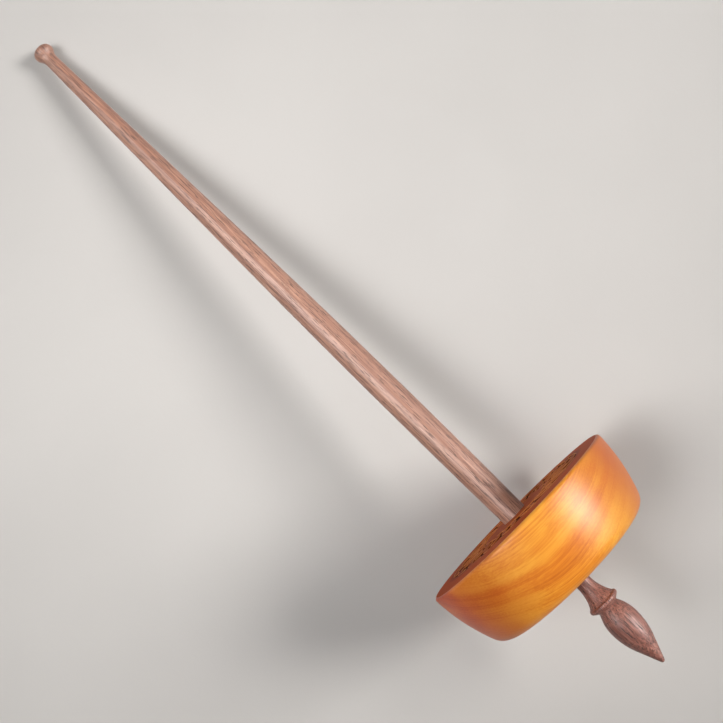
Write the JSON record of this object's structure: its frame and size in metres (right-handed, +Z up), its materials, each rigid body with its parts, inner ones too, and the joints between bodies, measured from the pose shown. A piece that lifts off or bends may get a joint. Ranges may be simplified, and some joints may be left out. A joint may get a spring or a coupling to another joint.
{
  "type": "drop spindle",
  "caption": "Bottom-whorl hand spindle: knobbed walnut shaft, glossy engraved wooden whorl and a turned, pointed foot.",
  "frame": {"origin": "centre of the bottom of the bounding box, on the surface that the spindle lies on", "axes": "+Z up, +X along the lying spindle from its tip towards its pointed foot; the spindle's own axis leans 8.28 degrees, foot end up"},
  "size_m": [0.296, 0.0752, 0.0747],
  "materials": {
    "shaft_walnut": "oiled walnut, satin, open pores along the grain",
    "whorl_wood": "orange-yellow close-grained wood, high gloss, with a burnt engraved ground on the top",
    "foot_walnut": "dark walnut, satin"
  },
  "bodies": {
    "root": {"shaft": "shaft_walnut", "whorl": "whorl_wood", "foot": "foot_walnut"}
  },
  "joints": []
}
